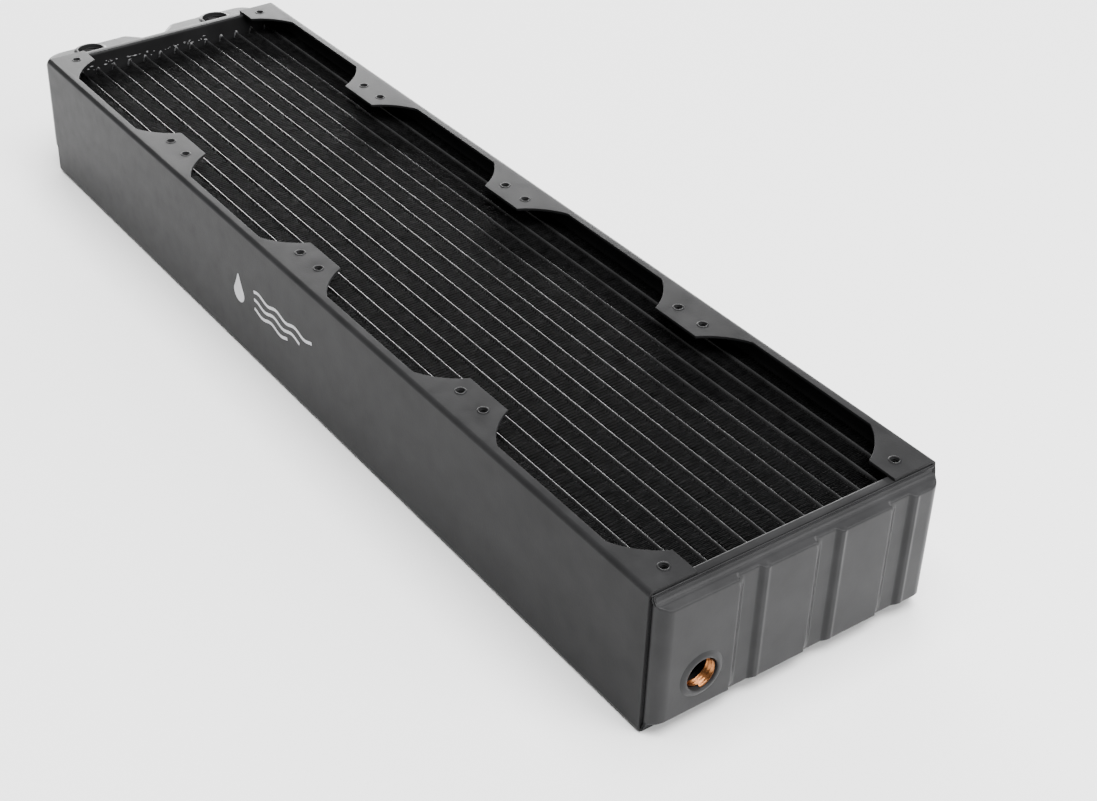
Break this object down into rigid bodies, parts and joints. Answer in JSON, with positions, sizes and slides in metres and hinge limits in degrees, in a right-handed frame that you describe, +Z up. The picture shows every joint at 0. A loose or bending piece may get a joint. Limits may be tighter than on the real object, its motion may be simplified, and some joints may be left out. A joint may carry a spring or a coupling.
{
  "type": "liquid cooling radiator",
  "caption": "Long thick liquid cooling radiator: black finned core in folded side channels with eared fan flanges, a shallow ribbed return tank and a deeper port tank with threaded ports.",
  "frame": {"origin": "centre of the fan hole grid, on the plane of the lower flanges", "axes": "+X along the radiator towards the shallow return tank, +Y across it, +Z up through its thickness towards the face the ports open on"},
  "size_m": [0.5081, 0.13, 0.063],
  "materials": {
    "satin_black_paint": "satin",
    "core_black_paint": "matt",
    "bare_brass": "machined",
    "solder": "rough, thinly painted"
  },
  "bodies": {
    "root": {"side_channel_front": "satin_black_paint", "side_channel_back": "satin_black_paint", "header_tray_near": "satin_black_paint", "header_tray_far": "satin_black_paint", "return_tank": "satin_black_paint", "port_tank": "satin_black_paint", "flow_divider": "satin_black_paint", "flat_tube_01": "core_black_paint", "flat_tube_02": "core_black_paint", "flat_tube_03": "core_black_paint", "flat_tube_04": "core_black_paint", "flat_tube_05": "core_black_paint", "flat_tube_06": "core_black_paint", "flat_tube_07": "core_black_paint", "flat_tube_08": "core_black_paint", "flat_tube_09": "core_black_paint", "flat_tube_10": "core_black_paint", "flat_tube_11": "core_black_paint", "flat_tube_12": "core_black_paint", "flat_tube_13": "core_black_paint", "flat_tube_14": "core_black_paint", "fin_strip_01": "core_black_paint", "fin_strip_02": "core_black_paint", "fin_strip_03": "core_black_paint", "fin_strip_04": "core_black_paint", "fin_strip_05": "core_black_paint", "fin_strip_06": "core_black_paint", "fin_strip_07": "core_black_paint", "fin_strip_08": "core_black_paint", "fin_strip_09": "core_black_paint", "fin_strip_10": "core_black_paint", "fin_strip_11": "core_black_paint", "fin_strip_12": "core_black_paint", "fin_strip_13": "core_black_paint", "fin_strip_14": "core_black_paint", "fin_strip_15": "core_black_paint", "drain_bushing": "bare_brass", "port_bushing_front": "bare_brass", "port_bushing_back": "bare_brass", "tube_solder_near": "solder", "tube_solder_far": "solder"}
  },
  "joints": []
}
